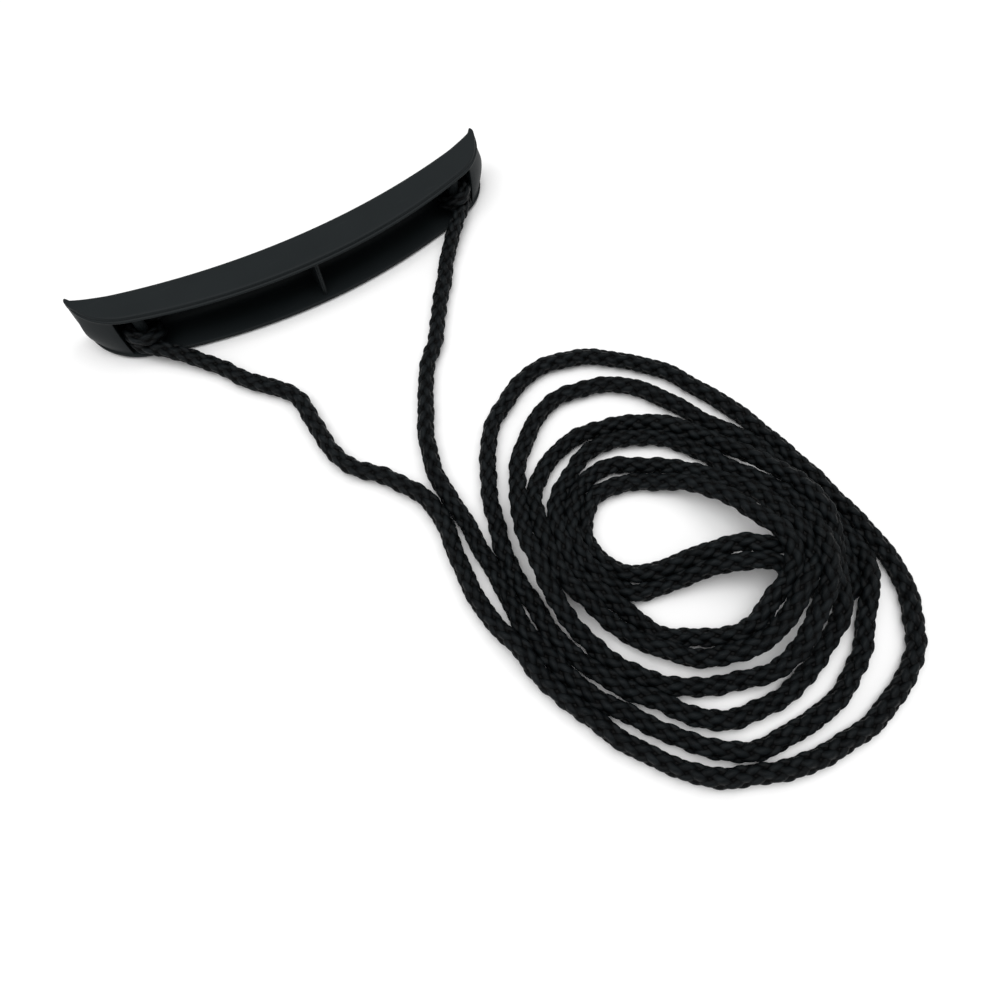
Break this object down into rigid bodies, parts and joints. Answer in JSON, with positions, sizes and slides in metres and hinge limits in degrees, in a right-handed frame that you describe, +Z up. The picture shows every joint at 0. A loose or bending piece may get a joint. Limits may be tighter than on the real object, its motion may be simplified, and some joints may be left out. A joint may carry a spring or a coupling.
{
  "type": "tow rope handle",
  "caption": "Moulded channel-section grip with a long braided rope hitched into both of its ends, the doubled rope lying beside it in a loose coil.",
  "frame": {"origin": "middle of the grip's footprint, on the surface that it lies on", "axes": "+X along the grip from its left tip to its right tip, +Y from the open front towards the palm side, +Z up through the top plate; the rope runs out towards -Y"},
  "size_m": [0.2157, 0.2914, 0.0225],
  "materials": {
    "grip_plastic": "satin moulded black plastic",
    "rope": "black braided polypropylene, slightly shiny strands"
  },
  "bodies": {
    "root": {"grip_moulding": "grip_plastic", "rope_hitch_left": "rope", "rope_hitch_right": "rope", "rope_leg_left": "rope", "rope_leg_right": "rope", "rope_coil": "rope", "rope_bight": "rope"}
  },
  "joints": []
}
